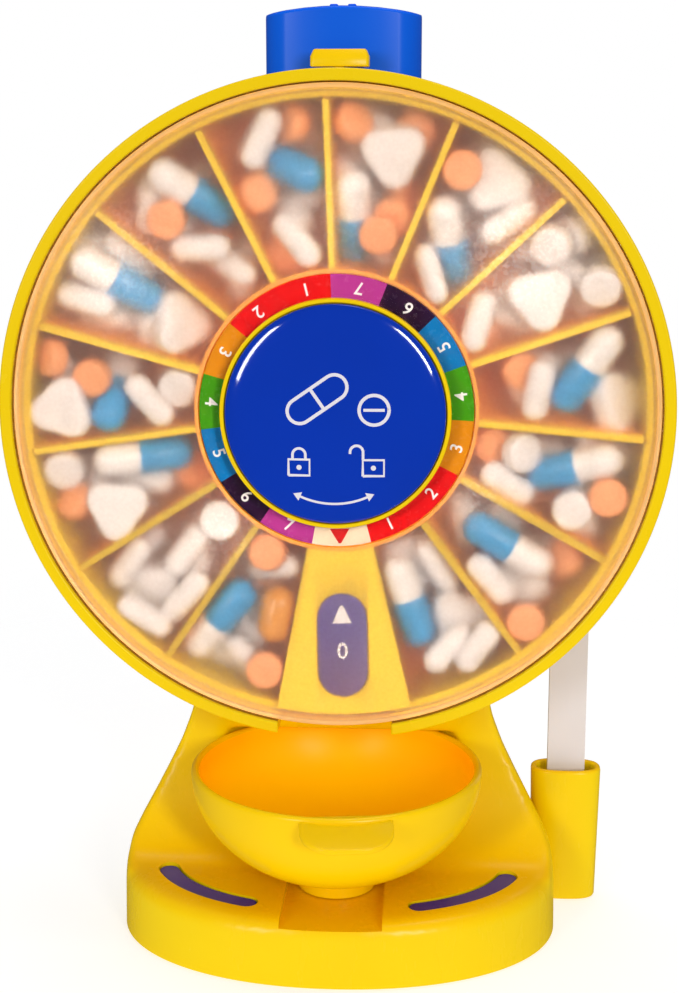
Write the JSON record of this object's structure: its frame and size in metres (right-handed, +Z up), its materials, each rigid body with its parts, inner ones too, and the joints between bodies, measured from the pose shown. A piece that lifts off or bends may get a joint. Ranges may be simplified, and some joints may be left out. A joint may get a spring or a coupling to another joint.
{
  "type": "pill dispenser",
  "caption": "Free-standing wheel pill dispenser: sector wheel in a round drum with a frosted cover and twist knob, press lever on top, oval stand with a catch bowl and a scoop in a holder.",
  "frame": {"origin": "centre of the overall bounding box in plan, on the surface that it stands on", "axes": "+X to the right, +Y to the back, +Z up; the drum, the bowl and the lever face or sit towards -Y"},
  "size_m": [0.14, 0.0856, 0.2044],
  "materials": {
    "yellow_plastic": "glossy moulded",
    "wheel_yellow": "glossy moulded",
    "lever_blue": "satin moulded",
    "dome_blue": "glossy domed",
    "cover_frost": "frosted, with a clear window ring",
    "ring_print": "glossy print",
    "label_purple": "printed label",
    "pad_purple": "soft inlay",
    "scoop_white": "translucent white",
    "works_white": "natural white",
    "screw_steel": "bright",
    "foot_rubber": "matt"
  },
  "bodies": {
    "frame": {"stand": "yellow_plastic", "base_plate": "yellow_plastic", "foot_1": "foot_rubber", "foot_2": "foot_rubber", "foot_3": "foot_rubber", "foot_4": "foot_rubber", "base_screw_1": "screw_steel", "base_screw_2": "screw_steel", "base_screw_3": "screw_steel", "base_screw_4": "screw_steel", "column_screw_1": "screw_steel", "column_screw_2": "screw_steel", "pad_left": "pad_purple", "pad_right": "pad_purple", "drum_casing": "yellow_plastic", "axle_pin": "works_white", "rear_housing": "yellow_plastic", "housing_screw_1": "screw_steel", "housing_screw_2": "screw_steel", "housing_screw_3": "screw_steel", "latch_tab": "yellow_plastic", "scoop_holder": "yellow_plastic", "return_spring": "screw_steel"},
    "wheel": {"sector_wheel": "wheel_yellow", "start_label": "label_purple", "number_ring": "ring_print", "ratchet_wheel": "works_white"},
    "cover": {"front_cover": "cover_frost"},
    "knob": {"knob_collar": "yellow_plastic", "knob_dome": "dome_blue", "lock_cam": "works_white"},
    "lever": {"press_lever": "lever_blue", "drive_arm": "works_white"},
    "drive_pawl": {"drive_pawl": "works_white"},
    "stop_pawl": {"stop_pawl": "works_white"},
    "bowl": {"bowl": "yellow_plastic"},
    "scoop": {"scoop": "scoop_white"}
  },
  "joints": [
    {"name": "wheel_turn", "type": "hinge", "parent": "frame", "child": "wheel", "pos_m": [0, 0.0018, 0.12], "axis": [0, 1, 0], "continuous": true},
    {"name": "cover_lift", "type": "slide", "parent": "frame", "child": "cover", "axis": [0, -1, 0], "range_m": [0, 0.04]},
    {"name": "knob_twist", "type": "hinge", "parent": "cover", "child": "knob", "pos_m": [0, -0.0062, 0.12], "axis": [0, 1, 0], "range_deg": [0, 45]},
    {"name": "lever_press", "type": "slide", "parent": "frame", "child": "lever", "axis": [0, 0, -1], "range_m": [0, 0.0084], "stiffness_N_per_m": 250, "springref_m": -0.004, "deforming": ["return_spring"]},
    {"name": "drive_pawl_swing", "type": "hinge", "parent": "lever", "child": "drive_pawl", "pos_m": [0.016, 0.0173, 0.1415], "axis": [0, -1, 0], "range_deg": [0, 6]},
    {"name": "stop_pawl_swing", "type": "hinge", "parent": "frame", "child": "stop_pawl", "pos_m": [-0.01118, 0.0173, 0.09564], "axis": [0, -1, 0], "range_deg": [0, 6]},
    {"name": "bowl_slide", "type": "slide", "parent": "frame", "child": "bowl", "axis": [0, -1, 0], "range_m": [0, 0.06]},
    {"name": "scoop_lift", "type": "slide", "parent": "frame", "child": "scoop", "axis": [0, 0, 1], "range_m": [0, 0.034]}
  ]
}
